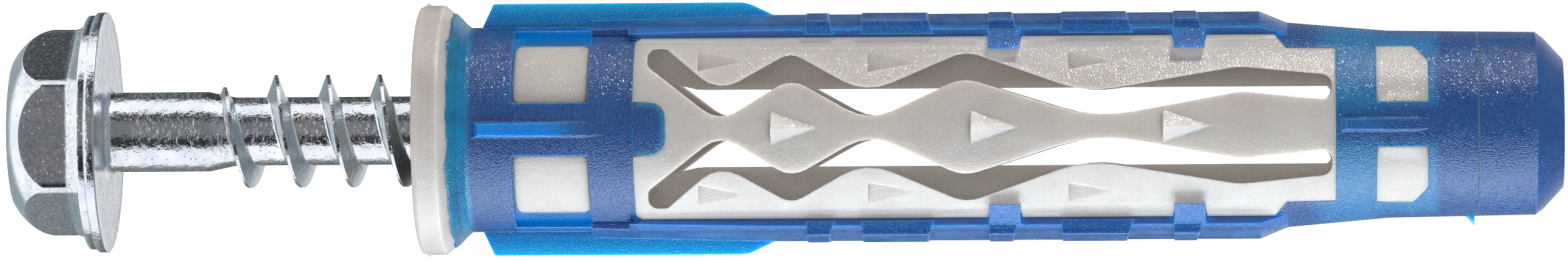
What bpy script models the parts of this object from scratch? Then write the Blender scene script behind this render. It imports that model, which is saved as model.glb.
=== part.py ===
"""Wall plug with a flanged hexagon screw started in its mouth.

Metres, +Z up. The screw stands on its flat crown at z = 0 and the plug points up.
The two fins of the plug lie along X, and its two narrow legs lie along Y.
Three real pieces: the grey plug body, the blue shell moulded over it, the screw.
"""
import math

import bmesh
import bpy
from mathutils import Vector

# Screw
HEX_ACROSS_FLATS = 0.0080
HEX_HEIGHT = 0.0033
HEX_TURN = math.radians(2.6)
HEX_FLARE = 0.0003
HEX_FLARE_HEIGHT = 0.00055
CROWN_DIAMETER = 0.0064
CROWN_DEPTH = 0.0020
FLANGE_INSET = 0.00019
FLANGE_THICKNESS = 0.00083
FLANGE_STEP = 0.00013
NECK_FILLET = 0.00036
SHANK_DIAMETER = 0.0035
SHANK_LENGTH = 0.00445
SHANK_TAPER = 0.0012
CORE_DIAMETER = 0.0030
THREAD_DIAMETER = 0.00495
THREAD_PITCH = 0.002286
THREAD_ROOT_WIDTH = 0.00095
THREAD_CREST_WIDTH = 0.00008
SCREW_LENGTH = 0.0250
POINT_LENGTH = 0.0042
SCREW_STAND_OFF = 0.01794

# Plug
PLUG_LENGTH = 0.0500
PLUG_DIAMETER = 0.0100
COLLAR_DIAMETER = 0.01094
COLLAR_RIM = 0.00112
SCREW_PLAY = 0.000075
SLEEVE_BORE = 0.0055
NOSE_BORE = 0.0034
FIN_PROUD = 0.00005
FIN_THICKNESS = 0.0006
WINDOW_ROUNDING = 0.0002
LEG_WINDOW_ROUNDING = 0.00028
BARB_HEIGHT = 0.00045
JOINT_GAP = 0.00005

# Resolution
PLUG_STEPS = 48
SCREW_STEPS = 32
THREAD_STEPS = 16
ARC_STEPS = 4

# Nominal sizes that the shape tables below are written for, in millimetres
TABLE_LENGTH = 50.0
TABLE_DIAMETER = 10.0

# The flange and the fins follow the collar
FLANGE_DIAMETER = COLLAR_DIAMETER - 2.0 * FLANGE_INSET
FIN_HEIGHT = COLLAR_DIAMETER / 2.0 + FIN_PROUD

COLLAR_Z = SCREW_STAND_OFF
FLANGE_TOP = HEX_HEIGHT + FLANGE_THICKNESS
TIP_Z = FLANGE_TOP + SCREW_LENGTH
BORE_RADIUS = THREAD_DIAMETER / 2.0 + SCREW_PLAY
ALONG = PLUG_LENGTH / TABLE_LENGTH
ACROSS = PLUG_DIAMETER / TABLE_DIAMETER
FAR = PLUG_DIAMETER

# Radii of the plug, from its axis
NECK_RADIUS = 4.48 * ACROSS
PAD_RADIUS = 4.17 * ACROSS
LEG_RADIUS = 4.50 * ACROSS
RAIL_RADIUS = 4.96 * ACROSS
SHELL_SEAT = 3.90 * ACROSS
RAIL_SEAT = 3.94 * ACROSS
NOSE_SEAT = 3.55 * ACROSS

# Widths across the plug
BAR_HALF = 1.15 * ACROSS
RAIL_CORNER = Vector((4.28 * ACROSS, 2.53 * ACROSS))
RAIL_ROOT = Vector((3.46 * ACROSS, 1.79 * ACROSS))
WEB_HALF = 1.90 * ACROSS
LEG_BACK = 2.20 * ACROSS

# Slot between a side leg and a narrow leg: distance from the collar face, distance
# from the middle plane, corner radius, all for the nominal plug
SIDE_LEG_EDGE = (
    (10.20, 3.46, 0.55),
    (11.02, 3.46, 0.28),
    (13.36, 1.55, 1.45),
    (16.44, 3.29, 0.96),
    (19.76, 1.46, 2.40),
    (24.04, 3.30, 1.70),
    (29.31, 1.45, 5.00),
    (35.90, 2.54, 3.00),
    (39.93, 2.15, 0.48),
)
NARROW_LEG_EDGE = (
    (39.93, 1.06, 0.42),
    (36.00, 1.46, 3.00),
    (29.66, 0.33, 7.00),
    (23.96, 2.14, 1.70),
    (19.89, 0.25, 2.20),
    (16.48, 2.15, 1.20),
    (13.39, 0.26, 1.25),
    (10.20, 2.70, 0.35),
)

# Lug stations on the rails: start, end, and whether a lip reaches down onto the leg
RAIL_LUGS = (
    (17.05, 18.38, False),
    (19.47, 22.71, False),
    (25.00, 26.42, True),
    (28.18, 31.40, False),
    (33.05, 34.46, True),
)

# Arrow barbs of the narrow legs: start and tip
ARROW_BARBS = ((15.62, 17.74), (24.31, 26.43), (32.62, 34.79))

# Pockets of the side legs: start, tip, outer height, inner height, height of the tip
LEG_POCKETS = (
    (12.36, 14.54, 3.36, 2.30, 2.92),
    (19.76, 22.03, 3.32, 2.23, 2.80),
    (28.47, 30.53, 3.28, 2.30, 2.82),
)


def at(distance):
    """Height of a station of the plug, from its distance to the collar face."""
    return COLLAR_Z + distance * ALONG


def across(size):
    """A size across the plug, scaled with its diameter."""
    return size * ACROSS


def clear_scene():
    for item in list(bpy.data.objects):
        bpy.data.objects.remove(item, do_unlink=True)
    for item in list(bpy.data.collections):
        bpy.data.collections.remove(item)


def new_collection(name):
    collection = bpy.data.collections.new(name)
    bpy.context.scene.collection.children.link(collection)
    return collection


def make_material(name, colour, metallic, roughness):
    material = bpy.data.materials.new(name)
    material.use_nodes = True
    shader = material.node_tree.nodes["Principled BSDF"]
    shader.inputs["Base Color"].default_value = (*colour, 1.0)
    shader.inputs["Metallic"].default_value = metallic
    shader.inputs["Roughness"].default_value = roughness
    material.diffuse_color = (*colour, 1.0)
    material.metallic = metallic
    material.roughness = roughness
    return material


def mesh_object(name, mesh_builder, collection):
    """Make an object from a bmesh and put it in a collection."""
    mesh = bpy.data.meshes.new(name)
    bmesh.ops.recalc_face_normals(mesh_builder, faces=mesh_builder.faces[:])
    mesh_builder.to_mesh(mesh)
    mesh_builder.free()
    item = bpy.data.objects.new(name, mesh)
    collection.objects.link(item)
    return item


def as_cutter(item):
    item.display_type = "WIRE"
    item.hide_render = True
    return item


def boolean(item, other, operation):
    step = item.modifiers.new(operation.title() + " " + other.name, "BOOLEAN")
    step.operation = operation
    step.solver = "EXACT"
    step.object = other
    return step


def spin(name, profile, collection, steps=PLUG_STEPS):
    """Turn a closed profile about the Z axis; it is listed upwards on its outer side."""
    builder = bmesh.new()
    downwards = list(reversed(profile))
    points = [builder.verts.new((radius, 0.0, height)) for radius, height in downwards]
    for first, second in zip(points, points[1:] + points[:1]):
        if first.co.x > 0.0 or second.co.x > 0.0:
            builder.edges.new((first, second))
    mesh = bpy.data.meshes.new(name)
    builder.to_mesh(mesh)
    builder.free()
    item = bpy.data.objects.new(name, mesh)
    collection.objects.link(item)
    turn = item.modifiers.new("Turn", "SCREW")
    turn.axis = "Z"
    turn.angle = math.tau
    turn.steps = steps
    turn.render_steps = steps
    turn.use_merge_vertices = True
    turn.merge_threshold = 0.000001
    turn.use_normal_calculate = False
    return item


def add_prism(builder, outline, place, low, high):
    """Add a closed prism: the outline is drawn twice, at low and at high."""
    bottom = [builder.verts.new(place(a, b, low)) for a, b in outline]
    top = [builder.verts.new(place(a, b, high)) for a, b in outline]
    builder.faces.new(bottom)
    builder.faces.new(list(reversed(top)))
    count = len(outline)
    for index in range(count):
        after = (index + 1) % count
        builder.faces.new((bottom[index], top[index], top[after], bottom[after]))


def add_stack(builder, layers):
    """Add a closed solid through level outlines that all have as many points."""
    rings = []
    for outline, height in layers:
        rings.append([builder.verts.new((a, b, height)) for a, b in outline])
    builder.faces.new(rings[0])
    builder.faces.new(list(reversed(rings[-1])))
    count = len(rings[0])
    for lower, upper in zip(rings, rings[1:]):
        for index in range(count):
            after = (index + 1) % count
            builder.faces.new((lower[index], upper[index], upper[after], lower[after]))


def facing_front(a, b, depth):
    """Outline in height and X, extruded along Y."""
    return Vector((b, depth, a))


def along_axis(a, b, height):
    """Outline in X and Y, extruded along Z."""
    return Vector((a, b, height))


def add_hull(builder, points):
    corners = [builder.verts.new(point) for point in points]
    bmesh.ops.convex_hull(builder, input=corners, use_existing_faces=False)


def rounded(corners, steps):
    """Round the corners of a closed outline; each corner carries its radius."""
    result = []
    count = len(corners)
    for index in range(count):
        here = Vector(corners[index][:2])
        before = Vector(corners[index - 1][:2])
        after = Vector(corners[(index + 1) % count][:2])
        radius = corners[index][2]
        into = (here - before).normalized()
        out = (after - here).normalized()
        turn = math.acos(max(-1.0, min(1.0, into.dot(out))))
        if radius <= 0.0 or turn < 0.01:
            result.append((here.x, here.y))
            continue
        reach = radius * math.tan(turn / 2.0)
        limit = 0.49 * min((here - before).length, (after - here).length)
        if reach > limit:
            reach = limit
            radius = reach / math.tan(turn / 2.0)
        start = here - into * reach
        side = 1.0 if into.x * out.y - into.y * out.x > 0.0 else -1.0
        centre = start + Vector((-into.y, into.x)) * radius * side
        arm = start - centre
        for step in range(steps + 1):
            angle = side * turn * step / steps
            cosine = math.cos(angle)
            sine = math.sin(angle)
            result.append((
                centre.x + arm.x * cosine - arm.y * sine,
                centre.y + arm.x * sine + arm.y * cosine,
            ))
    return result


def table_outline(corners, sign=1.0):
    """Turn a table of stations and heights into a rounded outline in metres."""
    scaled = []
    for distance, height, radius in corners:
        scaled.append((at(distance), sign * across(height), across(radius)))
    return rounded(scaled, ARC_STEPS)


def box_outline(start, end, low, high):
    return ((start, low), (end, low), (end, high), (start, high))


def plug_silhouette():
    """Outer line of the whole plug without its fins, collar face to tip."""
    cone_end = at(2.27)
    cone_slope = (COLLAR_DIAMETER / 2.0 - NECK_RADIUS) / (cone_end - COLLAR_Z - COLLAR_RIM)
    return cone_end, cone_slope


CONE_END, CONE_SLOPE = plug_silhouette()


def cone_radius(height):
    """Radius of the cone under the collar."""
    return COLLAR_DIAMETER / 2.0 - CONE_SLOPE * (height - COLLAR_Z - COLLAR_RIM)


def nose_radius(height):
    """Radius of the nose: a fast taper, then a slow one."""
    first = at(38.15)
    second = at(42.40)
    last = at(48.80)
    if height <= second:
        share = (height - first) / (second - first)
        return across(4.45) + (across(4.08) - across(4.45)) * share
    share = (height - second) / (last - second)
    return across(4.08) + (across(3.98) - across(4.08)) * share


def build_screw(collection, material):
    """One piece: hexagon, flange, fillet, shank, core, point and thread."""
    flange = FLANGE_DIAMETER / 2.0
    shank = SHANK_DIAMETER / 2.0
    core = CORE_DIAMETER / 2.0
    step = FLANGE_THICKNESS * 0.45
    soft = FLANGE_THICKNESS * 0.14
    shank_end = FLANGE_TOP + SHANK_LENGTH
    core_start = shank_end + SHANK_TAPER
    point_start = TIP_Z - POINT_LENGTH
    profile = [
        (0.0, HEX_HEIGHT * 0.6),
        (HEX_ACROSS_FLATS * 0.4, HEX_HEIGHT * 0.6),
        (HEX_ACROSS_FLATS * 0.4, HEX_HEIGHT),
        (flange - FLANGE_STEP - soft, HEX_HEIGHT),
        (flange - FLANGE_STEP, HEX_HEIGHT + soft),
        (flange - FLANGE_STEP, HEX_HEIGHT + step),
        (flange - soft, HEX_HEIGHT + step + soft * 0.4),
        (flange, HEX_HEIGHT + step + soft),
        (flange, FLANGE_TOP - soft),
        (flange - soft, FLANGE_TOP),
        (shank + NECK_FILLET, FLANGE_TOP),
    ]
    for index in range(1, 5):
        angle = math.pi / 2.0 * index / 4.0
        profile.append((
            shank + NECK_FILLET * (1.0 - math.sin(angle)),
            FLANGE_TOP + NECK_FILLET * (1.0 - math.cos(angle)),
        ))
    profile += [
        (shank, shank_end),
        (core, core_start),
        (core, point_start),
    ]
    for index in range(1, 5):
        share = index / 5.0
        profile.append((
            core * (1.0 - share ** 1.6),
            point_start + (TIP_Z - point_start) * share,
        ))
    profile.append((0.0, TIP_Z))
    screw = spin("screw", profile, collection, SCREW_STEPS)

    # Hexagon: its faces flare out at the foot, and its corners are softly rounded
    layers = (
        (HEX_ACROSS_FLATS, 0.0),
        (HEX_ACROSS_FLATS, HEX_HEIGHT - HEX_FLARE_HEIGHT),
        (HEX_ACROSS_FLATS + HEX_FLARE * 0.7, HEX_HEIGHT - HEX_FLARE_HEIGHT * 0.45),
        (HEX_ACROSS_FLATS + HEX_FLARE * 2.0, HEX_HEIGHT),
        (HEX_ACROSS_FLATS + HEX_FLARE * 2.0, HEX_HEIGHT + FLANGE_THICKNESS * 0.5),
    )
    builder = bmesh.new()
    add_stack(builder, [(hexagon_outline(width), height) for width, height in layers])
    head = mesh_object("hexagon", builder, CUTTERS)
    bevel = head.modifiers.new("Soft corners", "BEVEL")
    bevel.width = HEX_ACROSS_FLATS * 0.025
    bevel.segments = 2
    bevel.limit_method = "ANGLE"
    bevel.angle_limit = math.radians(50.0)

    # Crown: a flat disc, then a rounding that runs far down the corners
    outer = HEX_ACROSS_FLATS * 0.57
    crease = math.radians(35.0)
    reach = (outer - CROWN_DIAMETER / 2.0) / (1.0 - math.sin(crease))
    drop = CROWN_DEPTH / math.cos(crease)
    crown = [(0.0, -0.001), (CROWN_DIAMETER / 2.0, -0.001)]
    steps = 5
    for index in range(steps + 1):
        angle = crease + (math.pi / 2.0 - crease) * index / steps
        crown.append((
            outer - reach * (1.0 - math.sin(angle)),
            drop * (math.cos(crease) - math.cos(angle)),
        ))
    crown += [
        (outer + 0.001, CROWN_DEPTH + 0.0004),
        (outer + 0.001, FLANGE_TOP),
        (0.0, FLANGE_TOP),
    ]
    crown_body = as_cutter(spin("crown_rounding", crown, CUTTERS, SCREW_STEPS))
    boolean(head, crown_body, "INTERSECT")
    as_cutter(head)
    boolean(screw, head, "UNION")

    thread = build_thread(shank_end, core_start, point_start)
    boolean(screw, thread, "UNION")
    finish_node(screw, material)
    return screw


def hexagon_outline(across_flats):
    radius = across_flats / 2.0 / math.cos(math.pi / 6.0)
    points = []
    for index in range(6):
        angle = HEX_TURN + (index - 1) * math.pi / 3.0
        points.append((radius * math.cos(angle), radius * math.sin(angle)))
    return points


def thread_crest(height, start, end):
    """Crest radius along the screw: it grows from the shank and closes at the point."""
    full = THREAD_DIAMETER / 2.0
    core = CORE_DIAMETER / 2.0
    if height < start:
        share = max(0.0, 1.0 - (start - height) / (THREAD_PITCH * 0.8))
        low = SHANK_DIAMETER / 2.0 - 0.0001
        return low + (full - low) * share
    if height > end:
        share = min(1.0, (height - end) / (TIP_Z - end))
        return full + (core * 0.25 - full) * share ** 1.4
    return full


def build_thread(shank_end, core_start, point_start):
    """Sweep the thread ridge up a right-handed helix about the core."""
    phase = 0.01154
    first_turn = (shank_end - THREAD_PITCH * 0.05 - phase) / THREAD_PITCH
    last_turn = (TIP_Z - THREAD_PITCH * 0.42 - phase) / THREAD_PITCH
    count = max(8, int(round((last_turn - first_turn) * THREAD_STEPS)))
    start = shank_end + THREAD_PITCH * 0.75
    builder = bmesh.new()
    rings = []
    for index in range(count + 1):
        turn = first_turn + (last_turn - first_turn) * index / count
        angle = math.pi + turn * math.tau
        height = phase + turn * THREAD_PITCH
        crest = thread_crest(height, start, point_start)
        if height < core_start:
            inner = CORE_DIAMETER / 2.0 - 0.0003
        elif height < point_start:
            inner = CORE_DIAMETER / 2.0 - 0.0003
        else:
            share = (height - point_start) / (TIP_Z - point_start)
            inner = (CORE_DIAMETER / 2.0) * (1.0 - min(1.0, share + 0.12) ** 1.6) * 0.7
        full = THREAD_DIAMETER / 2.0 - CORE_DIAMETER / 2.0
        spread = max(0.25, min(1.0, (crest - inner) / full))
        root = THREAD_ROOT_WIDTH / 2.0 * spread
        edge = THREAD_CREST_WIDTH / 2.0
        ring = []
        for radius, offset in ((inner, -root), (crest, -edge), (crest, edge), (inner, root)):
            ring.append(builder.verts.new((
                radius * math.cos(angle),
                radius * math.sin(angle),
                height + offset,
            )))
        rings.append(ring)
    for ring, after in zip(rings, rings[1:]):
        for index in range(4):
            other = (index + 1) % 4
            builder.faces.new((ring[index], ring[other], after[other], after[index]))
    builder.faces.new(list(reversed(rings[0])))
    builder.faces.new(rings[-1])
    bmesh.ops.triangulate(builder, faces=builder.faces[:])
    return as_cutter(mesh_object("thread_ridge", builder, CUTTERS))


def finish_node(item, material):
    item.data.materials.append(material)


def body_profile():
    """Outer line of the grey body; it is set back where the blue shell covers it."""
    seat = SHELL_SEAT - JOINT_GAP
    nose_seat = NOSE_SEAT - JOINT_GAP
    blue_start = at(1.65)
    leg_start = at(9.61) + JOINT_GAP
    leg_end = at(40.08) - JOINT_GAP
    soft = COLLAR_RIM * 0.22
    return [
        (0.0, COLLAR_Z),
        (COLLAR_DIAMETER / 2.0 - soft, COLLAR_Z),
        (COLLAR_DIAMETER / 2.0 - soft * 0.3, COLLAR_Z + soft * 0.3),
        (COLLAR_DIAMETER / 2.0, COLLAR_Z + soft),
        (COLLAR_DIAMETER / 2.0, COLLAR_Z + COLLAR_RIM),
        (cone_radius(blue_start), blue_start),
        (seat, blue_start),
        (seat, leg_start),
        (LEG_RADIUS, leg_start),
        (LEG_RADIUS, at(37.40)),
        (nose_radius(leg_end), leg_end),
        (nose_seat, leg_end),
        (nose_seat, at(49.00) - JOINT_GAP),
        (0.0, at(49.00) - JOINT_GAP),
    ]


def bore_profile():
    """Channel for the screw: wide mouth, sleeve, leg channel, narrow nose."""
    sleeve = max(SLEEVE_BORE / 2.0, BORE_RADIUS + 0.0001)
    nose = min(NOSE_BORE / 2.0, BORE_RADIUS - 0.0002)
    return [
        (0.0, COLLAR_Z - 0.001),
        (sleeve + across(0.35), COLLAR_Z - 0.001),
        (sleeve + across(0.35), COLLAR_Z),
        (sleeve, COLLAR_Z + across(0.45)),
        (sleeve, at(11.0)),
        (BORE_RADIUS, at(12.3)),
        (BORE_RADIUS, at(39.75)),
        (nose, at(40.90)),
        (nose, at(51.0)),
        (0.0, at(51.0)),
    ]


def rail_section(gap, top):
    """Half-round section of a rail at +X, seated on the body, with room of gap."""
    inner = RAIL_SEAT - gap
    direction = (RAIL_CORNER - RAIL_ROOT).normalized()
    normal = Vector((-direction.y, direction.x))
    corner = RAIL_CORNER + normal * gap
    root = RAIL_ROOT + normal * gap
    scale = inner / root.length
    root = root + (root * scale - root)
    half = math.atan2(root.y, root.x)
    steps = 8
    points = []
    for index in range(steps + 1):
        angle = -half + 2.0 * half * index / steps
        points.append((inner * math.cos(angle), inner * math.sin(angle)))
    points += [
        (corner.x, corner.y),
        (top, corner.y),
        (top, -corner.y),
        (corner.x, -corner.y),
    ]
    return points


def mirrored(points, sign):
    return [(sign * a, b) for a, b in points]


def add_both_sides(builder, section, low, high):
    for sign in (1.0, -1.0):
        add_prism(builder, mirrored(section, sign), along_axis, low, high)


def slot_corners():
    return SIDE_LEG_EDGE + NARROW_LEG_EDGE


def build_body(collection, material):
    """Grey moulding: collar, sleeve, four legs with barbs and pockets, nose core."""
    body = spin("plug_body", body_profile(), collection)

    # Pads that show through the openings of the blue shell near the collar
    builder = bmesh.new()
    for side in (1.0, -1.0):
        for face in (1.0, -1.0):
            outline = sleeve_window(side, JOINT_GAP)
            add_prism(builder, outline, facing_front, face * across(1.2), face * FAR)
    pads = as_cutter(mesh_object("sleeve_pads", builder, CUTTERS))
    pad_round = as_cutter(spin("sleeve_pad_round", [
        (0.0, at(3.0)), (PAD_RADIUS, at(3.0)), (PAD_RADIUS, at(9.0)), (0.0, at(9.0)),
    ], CUTTERS))
    boolean(pads, pad_round, "INTERSECT")
    boolean(body, pads, "UNION")

    # Pads that show through the openings of the nose
    builder = bmesh.new()
    for side in (1.0, -1.0):
        for face in (1.0, -1.0):
            outline = nose_window(side, JOINT_GAP)
            add_prism(builder, outline, facing_front, face * across(1.2), face * FAR)
    pads = as_cutter(mesh_object("nose_pads", builder, CUTTERS))
    boolean(pads, NOSE_ROUND, "INTERSECT")
    boolean(body, pads, "UNION")

    # Arrow barbs on the narrow legs
    builder = bmesh.new()
    for face in (1.0, -1.0):
        for start, tip in ARROW_BARBS:
            base = LEG_RADIUS - across(0.35)
            half = across(0.715)
            surface = math.sqrt(LEG_RADIUS ** 2 - half ** 2)
            add_hull(builder, (
                (0.0, face * (LEG_RADIUS + BARB_HEIGHT), at(start)),
                (half, face * surface, at(start)),
                (-half, face * surface, at(start)),
                (half, face * base, at(start)),
                (-half, face * base, at(start)),
                (0.0, face * (LEG_RADIUS - across(0.01)), at(tip)),
                (0.0, face * base, at(tip)),
            ))
    barbs = as_cutter(mesh_object("arrow_barbs", builder, CUTTERS))

    # Grooves for the rails, with lips for two lugs, and seats for the tongues
    builder = bmesh.new()
    section = rail_section(JOINT_GAP, FAR)
    add_both_sides(builder, section, at(9.5), at(40.6))
    rails = as_cutter(mesh_object("rail_grooves", builder, CUTTERS))
    boolean(body, rails, "DIFFERENCE")
    builder = bmesh.new()
    for side in (1.0, -1.0):
        for face in (1.0, -1.0):
            for start, end, lipped in RAIL_LUGS:
                if not lipped:
                    continue
                outline = box_outline(at(start) - JOINT_GAP, at(end) + JOINT_GAP,
                                      side * (across(3.37) - JOINT_GAP), side * across(4.6))
                add_prism(builder, outline, facing_front, face * across(1.5), face * FAR)
        slant = leg_window_end(side, JOINT_GAP)
        outline = slant + (
            (at(40.3), slant[1][1]),
            (at(40.3), side * across(4.8)),
            (slant[0][0], side * across(4.8)),
        )
        add_prism(builder, outline, facing_front, -FAR, FAR)
        for face in (1.0, -1.0):
            add_prism(builder, leg_window_start(side, JOINT_GAP), facing_front,
                      face * across(1.1), face * FAR)
    for face in (1.0, -1.0):
        outline = tongue_outline(JOINT_GAP)
        add_prism(builder, outline, facing_front, face * across(2.0), face * FAR)
    seats = as_cutter(mesh_object("lug_seats", builder, CUTTERS))
    seat_core = as_cutter(spin("seat_core", [
        (0.0, at(8.0)),
        (SHELL_SEAT - JOINT_GAP + across(0.03), at(8.0)),
        (SHELL_SEAT - JOINT_GAP + across(0.03), at(37.0)),
        (NOSE_SEAT - JOINT_GAP + across(0.03), at(37.0)),
        (NOSE_SEAT - JOINT_GAP + across(0.03), at(42.0)),
        (0.0, at(42.0)),
    ], CUTTERS))
    boolean(seats, seat_core, "DIFFERENCE")
    boolean(body, seats, "DIFFERENCE")

    # Pockets pressed into the side legs
    builder = bmesh.new()
    for side in (1.0, -1.0):
        for face in (1.0, -1.0):
            for start, tip, outer, inner, tip_height in LEG_POCKETS:
                add_hull(builder, pocket_points(start, tip, outer, inner, tip_height,
                                                side, face))
    pockets = as_cutter(mesh_object("leg_pockets", builder, CUTTERS))
    boolean(body, pockets, "DIFFERENCE")

    # Slots, and the room behind the narrow legs, leaving the webs of the side legs
    builder = bmesh.new()
    for side in (1.0, -1.0):
        outline = table_outline(slot_corners(), side)
        for face in (1.0, -1.0):
            add_prism(builder, outline, facing_front, face * across(1.5), face * FAR)
    slots = as_cutter(mesh_object("slots", builder, CUTTERS))
    builder = bmesh.new()
    edge = []
    for outer, inner in zip(SIDE_LEG_EDGE[1:], reversed(NARROW_LEG_EDGE)):
        edge.append((at((outer[0] + inner[0]) / 2.0), across((outer[1] + inner[1]) / 2.0)))
    edge[-1] = (at(39.60), edge[-1][1])
    window = edge + [(a, -b) for a, b in reversed(edge)]
    add_prism(builder, window, facing_front, -LEG_BACK, LEG_BACK)
    room = as_cutter(mesh_object("room_behind_legs", builder, CUTTERS))
    builder = bmesh.new()
    crease = across(2.70)
    shallow = WEB_HALF - across(0.16)
    for side in (1.0, -1.0):
        outline = (
            (side * across(0.05), -WEB_HALF),
            (side * crease, -WEB_HALF),
            (side * across(3.6), -shallow),
            (side * across(4.6), -shallow),
            (side * across(4.6), shallow),
            (side * across(3.6), shallow),
            (side * crease, WEB_HALF),
            (side * across(0.05), WEB_HALF),
        )
        add_prism(builder, outline, along_axis, at(9.0), at(41.0))
    webs = as_cutter(mesh_object("webs", builder, CUTTERS))
    boolean(slots, room, "UNION")
    boolean(slots, webs, "DIFFERENCE")
    boolean(body, slots, "DIFFERENCE")
    bore = as_cutter(spin("screw_channel", bore_profile(), CUTTERS))
    boolean(body, barbs, "UNION")
    boolean(body, bore, "DIFFERENCE")
    finish_node(body, material)
    return body


def pocket_points(start, tip, outer, inner, tip_height, side, face):
    """Wedge-shaped cutter: flush at its outer edge and tip, deep at its inner edge."""
    def skin(height):
        return math.sqrt(LEG_RADIUS ** 2 - across(height) ** 2)

    deep = skin(inner) - across(0.42)
    draft = across(0.20)
    outside = LEG_RADIUS + across(1.0)
    corners = (
        (across(outer), skin(outer) + across(0.01), at(start)),
        (across(inner) + draft, deep, at(start) + draft * 0.3),
        (across(tip_height), skin(tip_height) + across(0.01), at(tip)),
        (across(outer), outside, at(start) - draft * 0.2),
        (across(inner) - draft * 0.4, outside, at(start) - draft * 0.2),
        (across(tip_height), outside, at(tip) + draft * 0.2),
    )
    return [(side * a, face * b, height) for a, b, height in corners]


def tongue_outline(gap):
    """Front tongue of the shell: a bar with a round end."""
    half = BAR_HALF + gap
    radius = across(0.68) + gap
    end = at(11.03) + gap
    start = at(9.2)
    corners = (
        (start, -half, 0.0),
        (end, -half, radius),
        (end, half, radius),
        (start, half, 0.0),
    )
    return rounded(corners, ARC_STEPS)


def sleeve_window(side, inset):
    """Opening near the collar that shows a grey pad: a rectangle with soft corners."""
    outline = box_outline(at(4.38) + inset, at(7.61) - inset,
                          side * (BAR_HALF + inset), side * (across(3.62) - inset))
    return rounded([(a, b, WINDOW_ROUNDING) for a, b in outline], 2)


def leg_window_start(side, gap):
    """Near corner of the long opening: a soft fillet between the band and the rail."""
    start = at(9.61)
    edge = across(3.93)
    radius = LEG_WINDOW_ROUNDING - gap
    centre_along = start + LEG_WINDOW_ROUNDING - across(0.02)
    centre_across = edge - LEG_WINDOW_ROUNDING
    outline = [(start - across(0.15), side * centre_across)]
    steps = 3
    for index in range(steps + 1):
        angle = math.pi / 2.0 * index / steps
        outline.append((
            centre_along - radius * math.cos(angle),
            side * (centre_across + radius * math.sin(angle)),
        ))
    outline.append((centre_along, side * (edge + across(0.13))))
    outline.append((start - across(0.15), side * (edge + across(0.13))))
    return outline


def leg_window_end(side, gap):
    """Far corner of the long opening: its edge slants in to the end of the legs."""
    outer = across(4.45)
    inner = across(3.33)
    start = at(36.99)
    corner = at(37.95)
    slant = Vector((corner - start, inner - outer)).normalized()
    normal = Vector((slant.y, -slant.x))
    turned_in = gap * (1.0 + normal.y) / normal.x
    return (
        (start + normal.x * gap, side * (outer + normal.y * gap)),
        (corner + turned_in, side * (inner - gap)),
    )


def nose_window(side, inset):
    """Opening of the nose: a rectangle with one cut corner."""
    start = at(41.85) + inset
    end = at(44.08) - inset
    low = across(0.98) + inset
    high = across(3.38) - inset
    cut = across(0.62)
    return (
        (start, side * low),
        (end, side * low),
        (end, side * (high - cut)),
        (end - cut, side * high),
        (start, side * high),
    )


def shell_envelope():
    """Outer line of the rails, from the sleeve to the nose."""
    return [
        (0.0, at(7.00)),
        (across(4.73), at(7.00)),
        (RAIL_RADIUS, at(15.40)),
        (RAIL_RADIUS, at(36.80)),
        (nose_radius(at(38.45)) - across(0.14), at(38.45)),
        (nose_radius(at(41.00)) - across(0.14), at(41.00)),
        (0.0, at(41.00)),
    ]


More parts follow.
